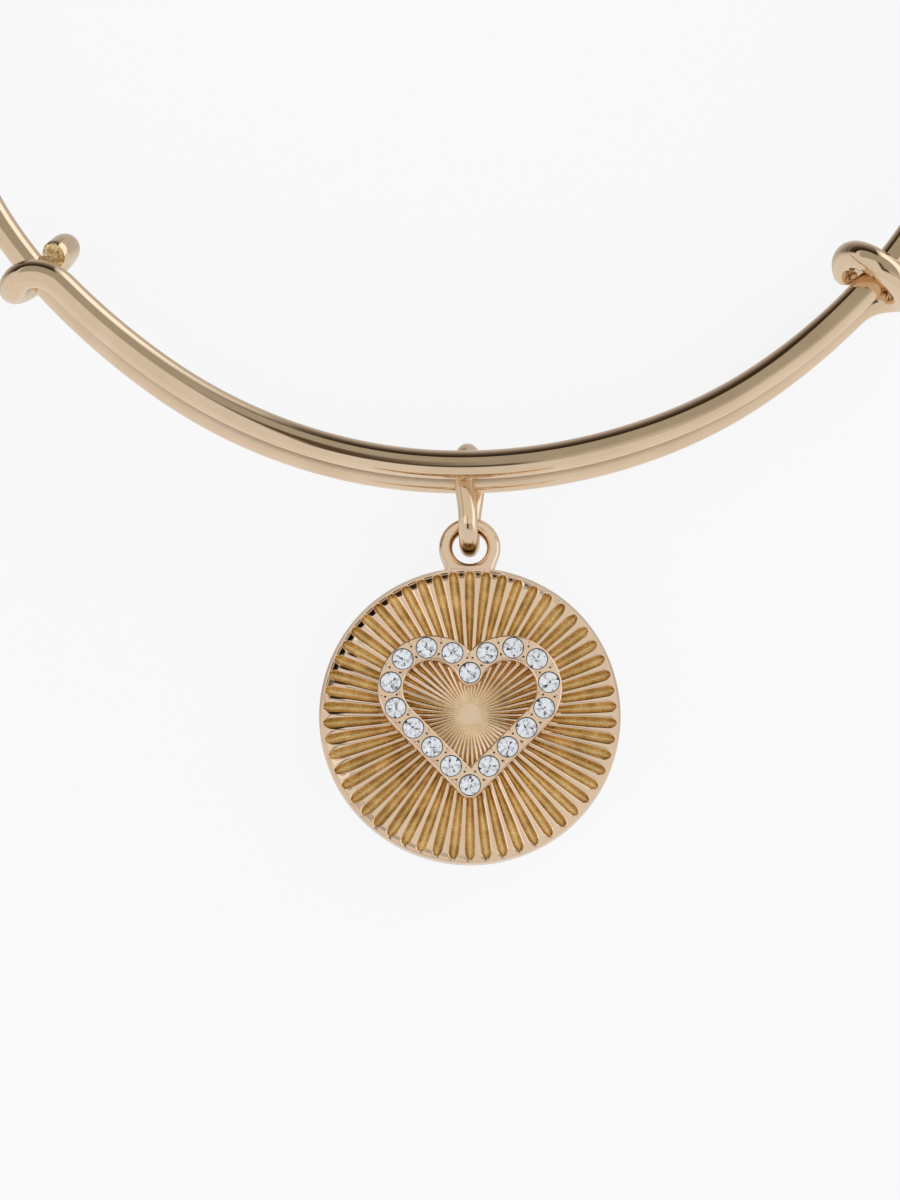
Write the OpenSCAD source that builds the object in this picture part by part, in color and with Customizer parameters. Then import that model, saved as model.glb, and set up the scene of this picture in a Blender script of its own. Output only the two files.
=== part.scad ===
// Expandable charm bangle, lying flat on its side.
// One round wire makes a whole turn and overlaps itself along the front, and
// each of its ends is wound once round the strand it crosses. An oval jump ring
// hangs a round sunburst medallion, with a raised heart of set crystals, from
// the lower strand. Millimetres, +Z up, the surface it lies on is z = 0, and
// the origin is the middle of the wrist opening. The medallion lies at -Y.
// Angles along the wire are measured from the front (-Y) towards +X.

/* [Bangle wire] */
// Diameter of the round wire
wire_d = 1.8; // [1.4:0.1:1.8]
// Radius of the wire's centre line at the front
front_r = 31.5; // [28:0.5:35]
// How much the radius grows towards the sides and the back
side_grow = 1.5; // [0:0.1:2]
// Angle from the front at which the left end is wound on
left_a = 56; // [50:1:60]
// Angle from the front at which the right end is wound on
right_a = 55; // [50:1:60]
// Radius of the wire where an end bends over into its winding
bend_r = 2.2; // [2:0.1:2.4]
// Number of sides of the wire's cross-section
wire_sides = 14; // [10:2:16]

/* [Jump ring] */
// Diameter of the jump ring's wire
link_d = 1.2; // [1:0.05:1.2]
// Radius of the ring's round ends, to the middle of its wire
link_r = 1.65; // [1.6:0.05:1.7]
// Length of the ring's straight sides
link_straight = 2.75; // [2.7:0.05:2.85]
// Sideways lean of the standing ring, in degrees
link_lean = 14; // [8:1:16]

/* [Medallion] */
// Diameter of the disc
disc_d = 18.7; // [18:0.1:20]
// Thickness of the disc
disc_t = 1.8; // [1.6:0.1:2]
// Outer diameter of the ear
ear_d = 3.8; // [3.6:0.1:4.2]
// Diameter of the hole in the ear
ear_hole_d = 2.2; // [2.1:0.05:2.3]
// Thickness of the ear
ear_t = 1.2; // [1:0.05:1.4]
// Distance from the middle of the disc to the middle of the ear
ear_reach = 10.75; // [10.7:0.05:11]
// Number of grooves in the sunburst
rays = 54; // [36:2:60]
// Depth of the grooves
ray_depth = 0.28; // [0.1:0.02:0.5]
// Tilt of the lying medallion, in degrees
tilt = 3.15; // [3:0.05:3.5]

/* [Heart] */
// Width of the raised bar
bar_w = 1.65; // [1.5:0.05:1.9]
// Height of the raised bar over the disc
bar_h = 0.7; // [0.6:0.05:1]
// Number of crystals round the heart
stones = 18; // [16:2:20]
// Diameter of a crystal
stone_d = 1.26; // [1:0.02:1.3]

/* [Hidden] */

GOLD = [0.86, 0.74, 0.58];
GLASS = [0.90, 0.94, 0.97];

rw = wire_d / 2;
mean_r = front_r + 0.7;          // for turning a length along the wire into an angle
back_z = rw;                     // the back of the turn touches the surface
// Height of the lower strand: at the left winding, at the front, at the right one
left_z = 3.06;
front_z = 2.2;
right_z = 0.97;
// Height of the upper strand over the lower one, at the same places
left_gap = 2.3;
front_gap = 3.2;
right_gap = 1.985;
// How far the lower strand stands out past the upper one, at each winding
left_out = 0.25;
right_out = 0.13;
// Where each winding stands along the wire, and where its end stops
left_end = 318;                  // degrees round the lower strand, 0 over it
right_end = -130;                // degrees round the upper strand, 180 under it

// ---------- the wire's route ----------

// Smooth step from 0 to 1 with no kink in its curvature
function ease(t) = let (u = min(1, max(0, t))) u * u * u * (10 - 15 * u + 6 * u * u);
function radius_at(a) = front_r + side_grow * ease((abs(a) - 33) / 50);
function low_z(a) = a < 0 ? front_z + (left_z - front_z) * ease(-a / left_a)
                          : front_z + (right_z - front_z) * ease(a / right_a);
function gap_at(a) = a < 0 ? front_gap + (left_gap - front_gap) * ease((-a - 10) / (left_a - 10))
                           : front_gap + (right_gap - front_gap) * ease((a - 10) / (right_a - 10));
function out_at(a) = a < 0 ? left_out * ease(-a / 50) : right_out * ease(a / 50);
function in_at(a) = a < 0 ? -0.03 * ease(-a / 50) : 0;
function on_circle(a, r, z) = [r * sin(a), -r * cos(a), z];
function upper(a) = on_circle(a, radius_at(a) + in_at(a), low_z(a) + gap_at(a));
function lower(a) = on_circle(a, radius_at(a) + in_at(a) + out_at(a), low_z(a));
// The single stretch round the back, from the right winding to the left one
function back(a) = let (
        f = (a - right_a) / (360 - left_a - right_a),
        side = a > 180 ? 360 - a : a,
        z = a < 180 ? back_z + (right_z + right_gap - back_z) * ease((180 - a) / (180 - right_a))
                    : back_z + (left_z - back_z) * ease((a - 180) / (180 - left_a)))
    on_circle(a, radius_at(side) + (left_out - 0.03) * ease(f), z);
// A point beside a strand: w degrees round it (0 over it, 90 outside), at reach r
function beside(c, a, w, r, shift) =
    c + [sin(a), -cos(a), 0] * (shift + r * sin(w)) + [0, 0, r * cos(w)];

// The left winding: the upper strand's end goes over the lower one, out, under and up
left_w1 = bend_r / 2.25 * 180 / PI;
function left_along(w) = -0.15 + 0.3 * cos(w - left_w1) + 0.35 * ease((w - 262) / 56);
function left_at(w, along) = let (
        a = -left_a + along / mean_r * 180 / PI,
        k = ease((w - 250) / 70),
        r = 2.23 + 0.07 * cos(w) - 0.36 * k,
        shift = (-left_out - 0.1 * ease(w / 60)) * (1 - k))
    beside(lower(a), a, w, r, shift);
left_turn = [for (i = [22:-1:0]) let (w = left_w1 + (left_end - left_w1) * i / 22) left_at(w, left_along(w))];
left_bend = [for (i = [5:-1:0]) let (t = 15 * i)
    left_at(left_w1 * (1 - cos(t)), 0.15 + bend_r * (1 - sin(t)))];

// The right winding: the lower strand's end goes under the upper one, out, over and down
right_w1 = 180 - bend_r / 2.1 * 180 / PI;
function right_along(w) = 0.03 - 0.75 * ease((-30 - w) / 140);
function right_at(w, along) = let (
        a = right_a + along / mean_r * 180 / PI,
        r = 2.15 + 0.17 * cos(w + 10),
        shift = right_out * ease(w / 180))
    beside(upper(a), a, w, r, shift);
right_bend = [for (i = [0:5]) let (t = 15 * i)
    right_at(180 - (180 - right_w1) * (1 - cos(t)), 0.03 - bend_r * (1 - sin(t)))];
right_turn = [for (i = [0:22]) let (w = right_w1 + (right_end - right_w1) * i / 22) right_at(w, right_along(w))];

upper_from = -left_a + (0.15 + bend_r) / mean_r * 180 / PI;
lower_to = right_a + (0.03 - bend_r) / mean_r * 180 / PI;
upper_run = [for (i = [1:28]) upper(upper_from + (right_a - upper_from) * i / 28)];
back_run = [for (i = [1:59]) back(right_a + (360 - left_a - right_a) * i / 60)];
lower_run = [for (i = [0:27]) lower(-left_a + (lower_to + left_a) * i / 28)];
route = concat(left_turn, left_bend, upper_run, back_run, lower_run, right_bend, right_turn);

// ---------- a round tube along a route ----------

function unit(v) = v / norm(v);
function way(p, i) = unit(p[min(len(p) - 1, i + 1)] - p[max(0, i - 1)]);
// Side directions that turn as little as they can from point to point
function sides_of(p) = [
    for (i = 0, t = way(p, 0), n = unit(cross(t, [0.3, 0.2, 1]));
         i < len(p);
         i = i + 1, t = way(p, min(i, len(p) - 1)), n = unit(n - t * (n * t)))
    [n, cross(t, n)]];
// ring_r holds the tube's radius at each point
module tube(p, ring_r, sides) {
    f = sides_of(p);
    m = len(p);
    points = [for (i = [0:m - 1]) for (j = [0:sides - 1])
        p[i] + ring_r[i] * (cos(360 * j / sides) * f[i][0] + sin(360 * j / sides) * f[i][1])];
    walls = [for (i = [0:m - 2]) for (j = [0:sides - 1])
        let (a = i * sides + j, b = i * sides + (j + 1) % sides, c = a + sides, d = b + sides)
        each [[a, c, b], [b, c, d]]];
    polyhedron(points, concat(walls,
        [[for (j = [0:sides - 1]) j]],
        [[for (j = [sides - 1:-1:0]) (m - 1) * sides + j]]));
}

module bangle_wire() {
    // Small bevels at the two cut ends
    bevel = 0.12;
    m = len(route);
    first = route[0] - way(route, 0) * bevel;
    last = route[m - 1] + way(route, m - 1) * bevel;
    p = concat([first], route, [last]);
    r = [for (i = [0:m + 1]) i == 0 || i == m + 1 ? rw - bevel : rw];
    color(GOLD) tube(p, r, wire_sides);
}

// ---------- the jump ring ----------

link_x = 0.5;
link_mid_z = 2.22;
link_far_y = -front_r;           // its inner round end is centred on the lower strand

module jump_ring() {
    color(GOLD)
    translate([link_x, link_far_y, link_mid_z]) rotate([0, -link_lean, 0]) rotate([0, 90, 0]) {
        rotate_extrude(angle = 180, $fn = 72) translate([link_r, 0]) circle(d = link_d, $fn = 36);
        translate([0, -link_straight, 0])
            rotate([0, 0, 180]) rotate_extrude(angle = 180, $fn = 72) translate([link_r, 0]) circle(d = link_d, $fn = 36);
        for (s = [-1, 1]) translate([s * link_r, 0.0, 0])
            rotate([90, 0, 0]) cylinder(d = link_d, h = link_straight, $fn = 36);
    }
}

// ---------- the medallion ----------

rd = disc_d / 2;
low_in = 0.62;                   // how far the disc's rounded lower edge draws in
med_x = 0.53;
hook_y = link_far_y - link_straight - link_r;   // the ring's outer round end, in the ear's hole
med_y = hook_y - ear_reach * cos(tilt) + 0.024;

// Places things made in the medallion's own frame: middle of the disc's back, +Y to the ear
module on_medallion() {
    translate([med_x, med_y, (rd - low_in) * sin(tilt)]) rotate([tilt, 0, 0]) children();
}

// The heart's middle line: two arcs and two straight lines
heart_c = 2.37;                  // arc centres, to either side
heart_r = 2.56;                  // radius of the arcs
heart_y = 1.55;                  // height of the arc centres
heart_tip = -4.55;               // height of the lower point
tip_reach = norm([heart_c, heart_y - heart_tip]);
arc_from = 180 - acos(heart_c / heart_r);
arc_to = atan2(heart_tip - heart_y, -heart_c) + acos(heart_r / tip_reach);
arc_len = (arc_from - arc_to) * PI / 180 * heart_r;
line_len = sqrt(tip_reach * tip_reach - heart_r * heart_r);
half_len = arc_len + line_len;
line_from = [heart_c + heart_r * cos(arc_to), heart_y + heart_r * sin(arc_to)];
// The point at length s down the right half, from the notch
function right_half(s) = s < arc_len
    ? let (a = arc_from - s / heart_r * 180 / PI) [heart_c + heart_r * cos(a), heart_y + heart_r * sin(a)]
    : line_from + ([0, heart_tip] - line_from) * (s - arc_len) / line_len;
function heart_point(i) = let (
        s = 2 * half_len * i / stones,
        q = right_half(s <= half_len ? s : 2 * half_len - s))
    s <= half_len ? q : [-q[0], q[1]];

module heart_flat() {
    for (m = [0, 1]) mirror([m, 0]) {
        // the arc, cut out of a flat ring
        intersection() {
            translate([heart_c, heart_y]) difference() {
                circle(r = heart_r + bar_w / 2, $fn = 72);
                circle(r = heart_r - bar_w / 2, $fn = 72);
            }
            translate([heart_c, heart_y]) polygon([
                [0, 0],
                8 * [cos(arc_from), sin(arc_from)],
                8 * [cos(arc_from - 60), sin(arc_from - 60)],
                8 * [cos(arc_to + 80), sin(arc_to + 80)],
                8 * [cos(arc_to + 40), sin(arc_to + 40)],
                8 * [cos(arc_to), sin(arc_to)]]);
        }
        // the straight side
        translate(line_from) rotate([0, 0, atan2(heart_tip - line_from[1], -line_from[0])])
            translate([-0.01, -bar_w / 2]) square([line_len + 0.01, bar_w]);
    }
    translate([0, heart_tip]) circle(d = bar_w, $fn = 36);
    translate(right_half(0)) circle(d = bar_w, $fn = 36);
}

// One groove of the sunburst: a thin wedge with a round outer tip
ray_in = 1.75;
ray_out = rd - 0.51;
ray_in_w = 0.09;
ray_out_w = 0.56;
module ray_flat() {
    polygon([[ray_in, -ray_in_w / 2], [ray_out, -ray_out_w / 2], [ray_out, ray_out_w / 2], [ray_in, ray_in_w / 2]]);
    translate([ray_out, 0]) circle(d = ray_out_w, $fn = 24);
}

// The disc: flat on top, with a fine bevel, and drawn in towards its back
module disc_body() {
    rotate_extrude($fn = 120) polygon([
        [0, 0], [rd - low_in, 0], [rd - 0.32, 0.55], [rd, disc_t - 0.65],
        [rd, disc_t - 0.16], [rd - 0.1, disc_t], [0, disc_t]]);
}

// The ear: a ring with bevelled edges
ear_bevel = 0.22;
ear_lift = 0.234;                // its underside over the disc's back
module ear() {
    ro = ear_d / 2;
    ri = ear_hole_d / 2;
    b = ear_bevel;
    rotate_extrude($fn = 64) polygon([
        [ri, b], [ri + b, 0], [ro - b, 0], [ro, b],
        [ro, ear_t - b], [ro - b, ear_t], [ri + b, ear_t], [ri, ear_t - b]]);
}
// The two short legs by which it runs into the disc
module ear_legs() {
    w = ear_d / 2 - 0.34;
    translate([0, 0, ear_lift]) linear_extrude(disc_t - 0.05 - ear_lift) difference() {
        polygon([[-w + 0.06, rd - 0.45], [w - 0.06, rd - 0.45], [w, rd], [w + 0.2, rd + 0.6], [-w - 0.2, rd + 0.6], [-w, rd]]);
        translate([0, ear_reach]) circle(r = ear_hole_d / 2 + 0.3, $fn = 64);
    }
}

seat_d = stone_d + 0.08;
seat_depth = 0.62;

module medallion() {
    color(GOLD) on_medallion()
    difference() {
        union() {
            difference() {
                disc_body();
                for (i = [0:rays - 1]) rotate([0, 0, 360 * (i + 0.5) / rays])
                    translate([0, 0, disc_t - ray_depth]) linear_extrude(ray_depth + 0.2) ray_flat();
            }
            translate([0, ear_reach, ear_lift]) ear();
            ear_legs();
            translate([0, 0, disc_t - ray_depth - 0.05]) linear_extrude(bar_h + ray_depth + 0.05) heart_flat();
        }
        for (i = [0:stones - 1]) translate(heart_point(i))
            translate([0, 0, disc_t + bar_h - seat_depth]) cylinder(d = seat_d, h = seat_depth + 1, $fn = 24);
    }
}

// ---------- the crystals ----------

module crystals() {
    color(GLASS) on_medallion()
    for (i = [0:stones - 1]) translate(heart_point(i)) translate([0, 0, disc_t + bar_h]) {
        // the crown
        translate([0, 0, -0.06]) cylinder(d1 = stone_d, d2 = stone_d * 0.6, h = 0.2, $fn = 24);
        // the girdle
        translate([0, 0, -0.12]) cylinder(d = stone_d, h = 0.06, $fn = 24);
        // the part down in the seat
        translate([0, 0, -0.54]) cylinder(d1 = stone_d * 0.25, d2 = stone_d, h = 0.42, $fn = 24);
    }
}

bangle_wire();
jump_ring();
medallion();
crystals();
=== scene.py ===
"""Looks of an expandable wire bangle with a sunburst medallion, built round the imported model."""

import math

import bmesh
import bpy
import numpy as np
from mathutils import Matrix, Vector


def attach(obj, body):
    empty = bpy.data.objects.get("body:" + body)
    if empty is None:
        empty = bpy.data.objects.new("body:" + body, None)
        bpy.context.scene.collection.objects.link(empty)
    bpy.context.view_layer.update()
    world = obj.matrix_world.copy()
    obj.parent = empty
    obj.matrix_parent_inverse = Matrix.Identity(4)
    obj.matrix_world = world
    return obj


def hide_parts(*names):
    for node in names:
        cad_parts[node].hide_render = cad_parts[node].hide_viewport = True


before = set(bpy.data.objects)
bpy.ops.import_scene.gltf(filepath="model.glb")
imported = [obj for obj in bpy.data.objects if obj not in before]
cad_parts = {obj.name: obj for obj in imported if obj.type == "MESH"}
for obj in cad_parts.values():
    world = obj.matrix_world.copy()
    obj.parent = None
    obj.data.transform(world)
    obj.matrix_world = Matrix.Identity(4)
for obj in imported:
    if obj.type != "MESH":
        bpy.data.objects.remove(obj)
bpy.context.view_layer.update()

MM = 0.001
RAD = math.pi / 180
scene = bpy.context.scene


# ---------------------------------------------------------------- camera

def add_camera():
    # 75 degrees above the horizon, looking along +Y, on a long lens
    target = Vector((-0.70, -39.55, 3.0)) * MM
    up_from_floor = 75 * RAD
    to_camera = Vector((0, -math.cos(up_from_floor), math.sin(up_from_floor)))
    data = bpy.data.cameras.new("camera")
    data.lens = 164.0
    data.sensor_width = 36.0
    data.sensor_fit = "AUTO"
    data.clip_start = 0.01
    data.clip_end = 20
    cam = bpy.data.objects.new("camera", data)
    cam.location = target + to_camera * 0.340
    cam.rotation_euler = to_camera.to_track_quat("Z", "Y").to_euler()
    scene.collection.objects.link(cam)
    scene.camera = cam


add_camera()


# ---------------------------------------------------------------- sizes, as in the part's own source (mm)

wire_r = 0.9
front_r, side_grow = 31.5, 1.5
left_a, right_a = 56.0, 55.0
bend_r = 2.2
mean_r = front_r + 0.7
back_z = wire_r
left_z, front_z, right_z = 3.06, 2.2, 0.97
left_gap, front_gap, right_gap = 2.3, 3.2, 1.985
left_out, right_out = 0.25, 0.13
left_end, right_end = 318.0, -130.0

link_d, link_r, link_straight, link_lean = 1.2, 1.65, 2.75, 14.0
link_x, link_mid_z, link_far_y = 0.5, 2.22, -front_r

disc_d, disc_t = 18.7, 1.8
rd, low_in = disc_d / 2, 0.62
ear_d, ear_hole_d, ear_reach = 3.8, 2.2, 10.75
rays, tilt, med_x = 54, 3.15, 0.53
hook_y = link_far_y - link_straight - link_r
med_y = hook_y - ear_reach * math.cos(tilt * RAD) + 0.024
bar_w, bar_h = 1.65, 0.7
stones, stone_d = 18, 1.26
heart_c, heart_r, heart_y, heart_tip = 2.37, 2.56, 1.55, -4.55


# ---------------------------------------------------------------- mesh helpers

def ease(t):
    u = np.clip(t, 0, 1)
    return u * u * u * (10 - 15 * u + 6 * u * u)


def smooth(a, b, x):
    u = np.clip((np.asarray(x, float) - a) / (b - a), 0, 1)
    return u * u * (3 - 2 * u)


def new_object(name, verts, faces, materials, face_mats=None, sharp=None, matrix=None):
    """verts are in millimetres; sharp is the angle in degrees past which an edge isn't smoothed."""
    mesh = bpy.data.meshes.new(name)
    v = np.asarray(verts, float) * MM
    mesh.from_pydata(v.tolist(), [], [list(map(int, f)) for f in faces])
    if matrix is not None:
        m = matrix.copy()
        m.translation = m.translation * MM
        mesh.transform(m)
    for mat in materials:
        mesh.materials.append(mat)
    if face_mats is not None:
        mesh.polygons.foreach_set("material_index", np.asarray(face_mats, np.int32))
    mesh.polygons.foreach_set("use_smooth", np.ones(len(mesh.polygons), bool))
    mesh.validate()
    mesh.update()
    if sharp is not None:
        mesh.set_sharp_from_angle(angle=sharp * RAD)
    obj = bpy.data.objects.new(name, mesh)
    scene.collection.objects.link(obj)
    return obj


def resample(points, step):
    p = np.asarray(points, float)
    s = np.concatenate([[0], np.cumsum(np.linalg.norm(np.diff(p, axis=0), axis=1))])
    n = int(round(s[-1] / step))
    q = np.linspace(0, s[-1], n + 1)
    return np.stack([np.interp(q, s, p[:, k]) for k in range(3)], 1)


def blurred(points, width):
    """Takes small kinks out of an open route, with its two ends kept."""
    p = np.asarray(points, float)
    k = np.exp(-0.5 * (np.arange(-3 * width, 3 * width + 1) / width) ** 2)
    k /= k.sum()
    pad = 3 * width
    head = 2 * p[0] - p[1:pad + 1][::-1]
    tail = 2 * p[-1] - p[-pad - 1:-1][::-1]
    q = np.concatenate([head, p, tail])
    return np.stack([np.convolve(q[:, i], k, "valid") for i in range(3)], 1)


def frames(p, closed=False):
    """Tangents and side directions that turn as little as they can."""
    if closed:
        t = np.roll(p, -1, 0) - np.roll(p, 1, 0)
    else:
        t = np.gradient(p, axis=0)
    t /= np.linalg.norm(t, axis=1)[:, None]
    n = np.zeros_like(p)
    first = np.cross(t[0], [0.3, 0.2, 1])
    n[0] = first / np.linalg.norm(first)
    for i in range(1, len(p)):
        v = n[i - 1] - t[i] * (n[i - 1] @ t[i])
        n[i] = v / np.linalg.norm(v)
    return t, n, np.cross(t, n)


def tube_rings(p, radii, sides):
    t, n, b = frames(p)
    w = np.arange(sides) * 2 * np.pi / sides
    ring = np.cos(w)[None, :, None] * n[:, None] + np.sin(w)[None, :, None] * b[:, None]
    return p[:, None] + ring * np.asarray(radii)[:, None, None], t


def grid_faces(rows, cols, wrap=True, offset=0):
    f = []
    last = cols if wrap else cols - 1
    for i in range(rows - 1):
        for j in range(last):
            a, b = i * cols + j, i * cols + (j + 1) % cols
            f.append((a + offset, b + offset, b + cols + offset, a + cols + offset))
    return f


# ---------------------------------------------------------------- materials

def nodes_of(name):
    mat = bpy.data.materials.new(name)
    mat.use_nodes = True
    nt = mat.node_tree
    nt.nodes.clear()
    out = nt.nodes.new("ShaderNodeOutputMaterial")
    bsdf = nt.nodes.new("ShaderNodeBsdfPrincipled")
    nt.links.new(bsdf.outputs[0], out.inputs[0])
    return mat, nt, bsdf


def add(nt, kind, **values):
    n = nt.nodes.new(kind)
    for k, v in values.items():
        if k in n.inputs:
            n.inputs[k].default_value = v
        else:
            setattr(n, k, v)
    return n


def noise(nt, scale, detail=3.0, rough=0.5, coord=None):
    if coord is None:
        coord = add(nt, "ShaderNodeTexCoord").outputs["Object"]
    n = add(nt, "ShaderNodeTexNoise")
    n.inputs["Scale"].default_value = scale
    n.inputs["Detail"].default_value = detail
    n.inputs["Roughness"].default_value = rough
    nt.links.new(coord, n.inputs["Vector"])
    return n.outputs["Fac"]


def ramp(nt, source, stops):
    r = add(nt, "ShaderNodeValToRGB")
    e = r.color_ramp.elements
    e[0].position, e[0].color = stops[0][0], stops[0][1]
    e[1].position, e[1].color = stops[-1][0], stops[-1][1]
    for pos, col in stops[1:-1]:
        k = e.new(pos)
        k.color = col
    nt.links.new(source, r.inputs[0])
    return r.outputs[0]


def map_range(nt, source, a, b, c, d, kind="LINEAR"):
    m = add(nt, "ShaderNodeMapRange")
    m.interpolation_type = kind
    for key, v in (("From Min", a), ("From Max", b), ("To Min", c), ("To Max", d)):
        m.inputs[key].default_value = v
    nt.links.new(source, m.inputs["Value"])
    return m.outputs["Result"]


def math_node(nt, op, a, b=None):
    n = add(nt, "ShaderNodeMath")
    n.operation = op
    for k, v in enumerate((a, b)):
        if v is None:
            continue
        if isinstance(v, (int, float)):
            n.inputs[k].default_value = v
        else:
            nt.links.new(v, n.inputs[k])
    return n.outputs[0]


def mix(nt, fac, a, b):
    n = add(nt, "ShaderNodeMix")
    n.data_type = "RGBA"
    nt.links.new(fac, n.inputs["Factor"])
    for key, v in (("A", a), ("B", b)):
        sock = [s for s in n.inputs if s.name == key and s.type == "RGBA"][0]
        if isinstance(v, tuple):
            sock.default_value = v
        else:
            nt.links.new(v, sock)
    return [s for s in n.outputs if s.type == "RGBA"][0]


def rgb(r, g, b):
    return (r, g, b, 1.0)


def polished(name, low, high, rough=(0.05, 0.11), bump=0.10):
    """Plated metal: a slight drift in tone, fine haze and a barely uneven surface."""
    mat, nt, bsdf = nodes_of(name)
    bsdf.inputs["Metallic"].default_value = 1.0
    drift = noise(nt, 260, 2.0)
    nt.links.new(ramp(nt, drift, [(0.35, low), (0.65, high)]), bsdf.inputs["Base Color"])
    haze = noise(nt, 1500, 4.0, 0.6)
    rubbed = add(nt, "ShaderNodeAttribute", attribute_name="rubbed").outputs["Fac"]
    wear = math_node(nt, "MULTIPLY", rubbed, 0.34)
    nt.links.new(math_node(nt, "ADD", map_range(nt, haze, 0.3, 0.7, rough[0], rough[1]), wear), bsdf.inputs["Roughness"])
    uneven = noise(nt, 900, 2.0)
    b = add(nt, "ShaderNodeBump")
    b.inputs["Strength"].default_value = bump
    b.inputs["Distance"].default_value = 0.00002
    nt.links.new(uneven, b.inputs["Height"])
    nt.links.new(b.outputs[0], bsdf.inputs["Normal"])
    return mat


GOLD_LOW, GOLD_HIGH = rgb(0.76, 0.585, 0.405), rgb(0.82, 0.635, 0.455)
wire_gold = polished("wire_gold", GOLD_LOW, GOLD_HIGH)
ring_gold = polished("ring_gold", GOLD_LOW, GOLD_HIGH)
land_gold = polished("medallion_gold", rgb(0.80, 0.61, 0.46), rgb(0.85, 0.655, 0.495), (0.06, 0.13), 0.14)


def paint_pit_shade(mat):
    """Blackens a metal where the mesh's pit attribute says: painted shade, the deep shadow and dark reflection in the
    pits at the lands' ends.
    """
    nt = mat.node_tree
    sock = [n for n in nt.nodes if n.type == "BSDF_PRINCIPLED"][0].inputs["Base Color"]
    old = sock.links[0].from_socket
    nt.links.new(mix(nt, add(nt, "ShaderNodeAttribute", attribute_name="pit").outputs["Fac"], old, rgb(0.045, 0.028, 0.016)), sock)


# painted shade in the pits at the lands' ends
paint_pit_shade(land_gold)


def sandy_gold():
    """The grooves' floor: deeper gold with a fine sandy grain."""
    mat, nt, bsdf = nodes_of("groove_gold")
    bsdf.inputs["Metallic"].default_value = 1.0
    patch = noise(nt, 900, 3.0, 0.6)
    grain = noise(nt, 11000, 2.0, 0.7)
    tone = math_node(nt, "ADD", math_node(nt, "MULTIPLY", patch, 0.5), math_node(nt, "MULTIPLY", grain, 0.5))
    nt.links.new(ramp(nt, tone, [(0.36, rgb(0.56, 0.37, 0.145)), (0.5, rgb(0.76, 0.535, 0.25)), (0.64, rgb(0.97, 0.74, 0.41))]),
                 bsdf.inputs["Base Color"])
    nt.links.new(map_range(nt, grain, 0.3, 0.7, 0.24, 0.46), bsdf.inputs["Roughness"])
    b = add(nt, "ShaderNodeBump")
    b.inputs["Strength"].default_value = 1.0
    b.inputs["Distance"].default_value = 0.00004
    nt.links.new(grain, b.inputs["Height"])
    nt.links.new(b.outputs[0], bsdf.inputs["Normal"])
    return mat


def cut_gold():
    """The rough bright face of a cut wire end."""
    mat, nt, bsdf = nodes_of("cut_gold")
    bsdf.inputs["Metallic"].default_value = 1.0
    patch = noise(nt, 3500, 3.0, 0.6)
    nt.links.new(ramp(nt, patch, [(0.28, rgb(0.66, 0.42, 0.12)), (0.46, rgb(0.97, 0.74, 0.34)), (0.62, rgb(1.0, 0.93, 0.70))]),
                 bsdf.inputs["Base Color"])
    bsdf.inputs["Roughness"].default_value = 0.34
    b = add(nt, "ShaderNodeBump")
    b.inputs["Strength"].default_value = 1.0
    b.inputs["Distance"].default_value = 0.00006
    nt.links.new(noise(nt, 4500, 3.0, 0.65), b.inputs["Height"])
    nt.links.new(b.outputs[0], bsdf.inputs["Normal"])
    return mat


def seat_shade_metal():
    """The walls of the stones' seats and of the pits beside them, greyer and darker than the plating: painted shade for
    the shadowed gap round each stone.
    """
    mat, nt, bsdf = nodes_of("seat_shade_metal")
    bsdf.inputs["Metallic"].default_value = 1.0
    tone = noise(nt, 5000, 2.0)
    nt.links.new(ramp(nt, tone, [(0.35, rgb(0.09, 0.082, 0.072)), (0.65, rgb(0.17, 0.155, 0.135))]), bsdf.inputs["Base Color"])
    bsdf.inputs["Roughness"].default_value = 0.3
    return mat


def crystal_glass():
    mat, nt, bsdf = nodes_of("crystal_glass")
    bsdf.inputs["Base Color"].default_value = rgb(0.97, 0.985, 1.0)
    bsdf.inputs["Transmission Weight"].default_value = 1.0
    bsdf.inputs["IOR"].default_value = 1.46
    tiny = noise(nt, 3000, 2.0)
    nt.links.new(map_range(nt, tiny, 0.3, 0.7, 0.0, 0.02), bsdf.inputs["Roughness"])
    return mat


def crystal_foil(name, low, high, rough, glow):
    """The backing of a stone's facets, made in bright, grey and dark copies with a glow: painted reflections and
    painted light, which stand in for the light that a cut stone throws back.
    """
    mat, nt, bsdf = nodes_of(name)
    tone = noise(nt, 2500, 2.0)
    nt.links.new(ramp(nt, tone, [(0.35, low), (0.65, high)]), bsdf.inputs["Base Color"])
    bsdf.inputs["Roughness"].default_value = rough
    bsdf.inputs["Emission Color"].default_value = rgb(0.97, 0.98, 1.0)
    bsdf.inputs["Emission Strength"].default_value = glow
    return mat


groove_gold, cut_face, seat_shade = sandy_gold(), cut_gold(), seat_shade_metal()
glass = crystal_glass()
foil_painted_reflections = [crystal_foil("crystal_foil", rgb(0.84, 0.87, 0.92), rgb(0.95, 0.96, 1.0), 0.4, 0.28),
         crystal_foil("crystal_foil_painted_grey", rgb(0.46, 0.48, 0.52), rgb(0.62, 0.64, 0.68), 0.4, 0.15),
         crystal_foil("crystal_foil_painted_dark", rgb(0.05, 0.05, 0.055), rgb(0.12, 0.12, 0.13), 0.3, 0.0)]


# ---------------------------------------------------------------- the bangle wire

def radius_at(a):
    return front_r + side_grow * ease((np.abs(a) - 33) / 50)


def low_z(a):
    return np.where(a < 0, front_z + (left_z - front_z) * ease(-a / left_a), front_z + (right_z - front_z) * ease(a / right_a))


def gap_at(a):
    return np.where(a < 0, front_gap + (left_gap - front_gap) * ease((-a - 10) / (left_a - 10)),
                    front_gap + (right_gap - front_gap) * ease((a - 10) / (right_a - 10)))


def out_at(a):
    return np.where(a < 0, left_out * ease(-a / 50), right_out * ease(a / 50))


def in_at(a):
    return np.where(a < 0, -0.03 * ease(-a / 50), 0.0)


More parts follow.
